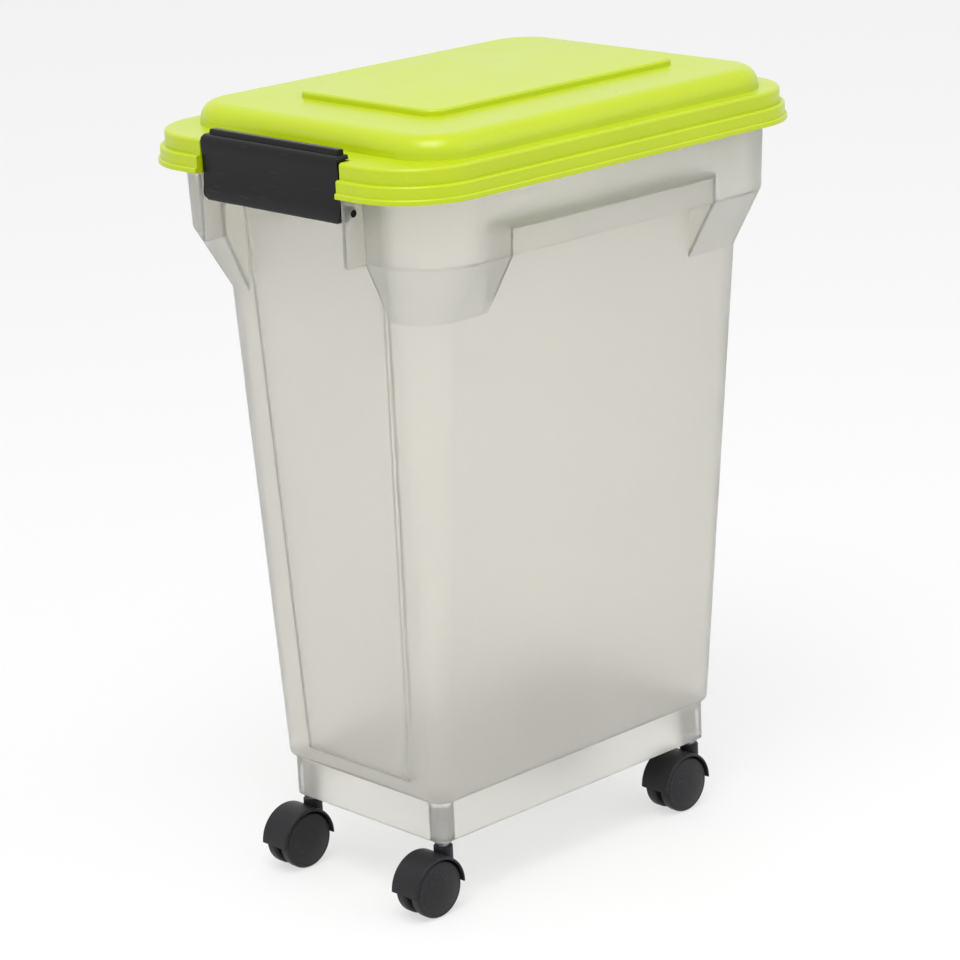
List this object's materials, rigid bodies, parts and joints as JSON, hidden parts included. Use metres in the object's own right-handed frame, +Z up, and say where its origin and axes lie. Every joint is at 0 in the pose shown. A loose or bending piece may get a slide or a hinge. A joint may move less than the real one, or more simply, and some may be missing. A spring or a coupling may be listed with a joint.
{
  "type": "pet food storage bin",
  "caption": "Tall translucent tapered tub on twin-wheel swivel casters, with a domed lift-off lid, a rim seal, hand grips and a pivoting black latch at each end",
  "frame": {"origin": "on the floor under the middle of the bin, at the bottom centre of its box", "axes": "+Z up, +X along the long side away from the latch that the picture shows, +Y along the short side"},
  "size_m": [0.379, 0.2788, 0.5415],
  "materials": {
    "tub": "milky translucent moulded polypropylene, satin",
    "lid": "lime green moulded polypropylene, soft gloss",
    "seal": "pale soft closed-cell rubber",
    "latch": "black moulded plastic, satin",
    "caster_hood": "black moulded nylon, satin",
    "caster_wheel": "black moulded nylon wheel, satin, worn at the tread",
    "steel": "zinc-plated steel"
  },
  "bodies": {
    "root": {"bin_body": "tub", "stem_front_left": "steel", "grip_ring_front_left": "steel", "stem_front_right": "steel", "grip_ring_front_right": "steel", "stem_rear_left": "steel", "grip_ring_rear_left": "steel", "stem_rear_right": "steel", "grip_ring_rear_right": "steel"},
    "lid": {"lid": "lid", "lid_seal": "seal"},
    "latch_left": {"latch_left": "latch"},
    "latch_right": {"latch_right": "latch"},
    "caster_front_left": {"hood_front_left": "caster_hood", "axle_front_left": "steel"},
    "wheel_outer_front_left": {"wheel_outer_front_left": "caster_wheel"},
    "wheel_inner_front_left": {"wheel_inner_front_left": "caster_wheel"},
    "caster_front_right": {"hood_front_right": "caster_hood", "axle_front_right": "steel"},
    "wheel_outer_front_right": {"wheel_outer_front_right": "caster_wheel"},
    "wheel_inner_front_right": {"wheel_inner_front_right": "caster_wheel"},
    "caster_rear_left": {"hood_rear_left": "caster_hood", "axle_rear_left": "steel"},
    "wheel_outer_rear_left": {"wheel_outer_rear_left": "caster_wheel"},
    "wheel_inner_rear_left": {"wheel_inner_rear_left": "caster_wheel"},
    "caster_rear_right": {"hood_rear_right": "caster_hood", "axle_rear_right": "steel"},
    "wheel_outer_rear_right": {"wheel_outer_rear_right": "caster_wheel"},
    "wheel_inner_rear_right": {"wheel_inner_rear_right": "caster_wheel"}
  },
  "joints": [
    {"name": "lid_lift", "type": "slide", "parent": "root", "child": "lid", "axis": [0, 0, 1], "range_m": [0, 0.25]},
    {"name": "latch_left_turn", "type": "hinge", "parent": "root", "child": "latch_left", "pos_m": [-0.177, 0, 0.489], "axis": [0, -1, 0], "range_deg": [0, 160]},
    {"name": "latch_right_turn", "type": "hinge", "parent": "root", "child": "latch_right", "pos_m": [0.177, 0, 0.489], "axis": [0, 1, 0], "range_deg": [0, 160]},
    {"name": "swivel_front_left", "type": "hinge", "parent": "root", "child": "caster_front_left", "pos_m": [-0.1225, -0.066, 0.045], "axis": [0, 0, 1], "continuous": true},
    {"name": "roll_outer_front_left", "type": "hinge", "parent": "caster_front_left", "child": "wheel_outer_front_left", "pos_m": [-0.1375, -0.066, 0.02], "axis": [0, 1, 0], "continuous": true},
    {"name": "roll_inner_front_left", "type": "hinge", "parent": "caster_front_left", "child": "wheel_inner_front_left", "pos_m": [-0.1375, -0.066, 0.02], "axis": [0, 1, 0], "continuous": true},
    {"name": "swivel_front_right", "type": "hinge", "parent": "root", "child": "caster_front_right", "pos_m": [0.1225, -0.066, 0.045], "axis": [0, 0, 1], "continuous": true},
    {"name": "roll_outer_front_right", "type": "hinge", "parent": "caster_front_right", "child": "wheel_outer_front_right", "pos_m": [0.1075, -0.066, 0.02], "axis": [0, 1, 0], "continuous": true},
    {"name": "roll_inner_front_right", "type": "hinge", "parent": "caster_front_right", "child": "wheel_inner_front_right", "pos_m": [0.1075, -0.066, 0.02], "axis": [0, 1, 0], "continuous": true},
    {"name": "swivel_rear_left", "type": "hinge", "parent": "root", "child": "caster_rear_left", "pos_m": [-0.1225, 0.066, 0.045], "axis": [0, 0, 1], "continuous": true},
    {"name": "roll_outer_rear_left", "type": "hinge", "parent": "caster_rear_left", "child": "wheel_outer_rear_left", "pos_m": [-0.1375, 0.066, 0.02], "axis": [0, 1, 0], "continuous": true},
    {"name": "roll_inner_rear_left", "type": "hinge", "parent": "caster_rear_left", "child": "wheel_inner_rear_left", "pos_m": [-0.1375, 0.066, 0.02], "axis": [0, 1, 0], "continuous": true},
    {"name": "swivel_rear_right", "type": "hinge", "parent": "root", "child": "caster_rear_right", "pos_m": [0.1225, 0.066, 0.045], "axis": [0, 0, 1], "continuous": true},
    {"name": "roll_outer_rear_right", "type": "hinge", "parent": "caster_rear_right", "child": "wheel_outer_rear_right", "pos_m": [0.1075, 0.066, 0.02], "axis": [0, 1, 0], "continuous": true},
    {"name": "roll_inner_rear_right", "type": "hinge", "parent": "caster_rear_right", "child": "wheel_inner_rear_right", "pos_m": [0.1075, 0.066, 0.02], "axis": [0, 1, 0], "continuous": true}
  ]
}
